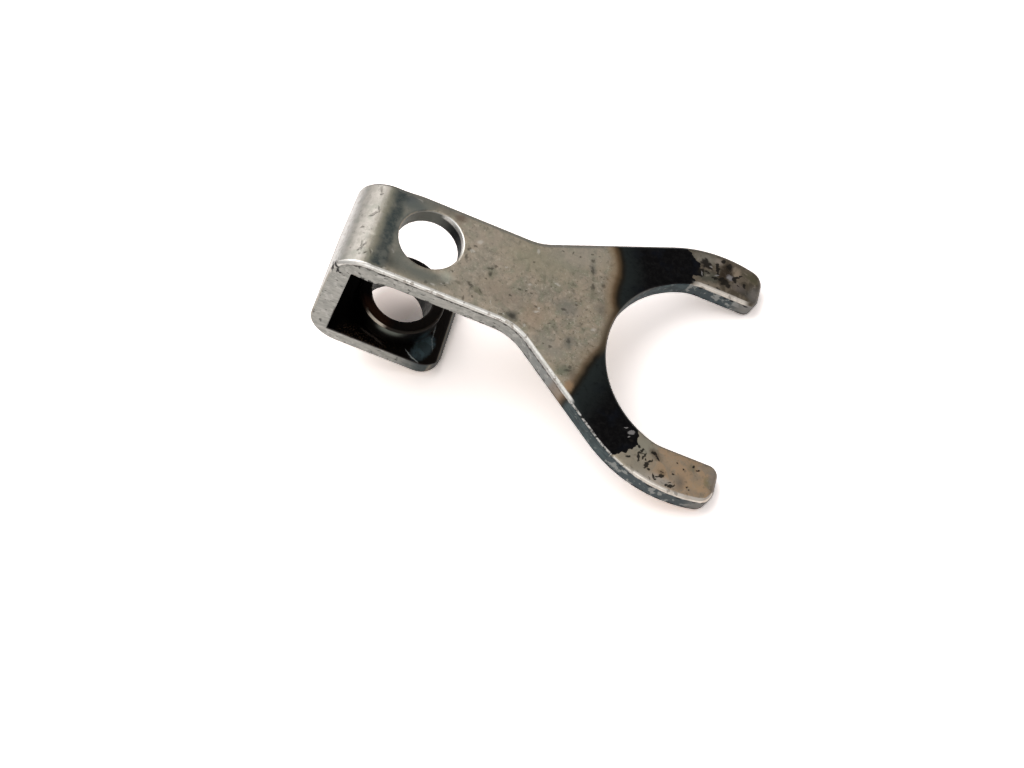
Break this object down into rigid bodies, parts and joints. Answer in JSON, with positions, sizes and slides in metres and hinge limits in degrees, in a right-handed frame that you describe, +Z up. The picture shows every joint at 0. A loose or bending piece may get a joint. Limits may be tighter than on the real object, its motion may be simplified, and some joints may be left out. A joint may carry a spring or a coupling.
{
  "type": "shift fork",
  "caption": "Folded sheet-steel shift fork: a forked plate for a sleeve groove, folded back into a C whose flanges hold a shift rail.",
  "frame": {"origin": "centre of the bounding box in plan, on the surface the fork lies on", "axes": "+X from the folded end towards the prong ends, +Y across the fork from the prong further from the bore axis to the nearer one, +Z up"},
  "size_m": [0.0938, 0.061, 0.0424],
  "materials": {
    "steel": "bare worn steel, pitted, with dark heat bands round the hardened prongs"
  },
  "bodies": {
    "root": {"shift_fork": "steel"}
  },
  "joints": []
}
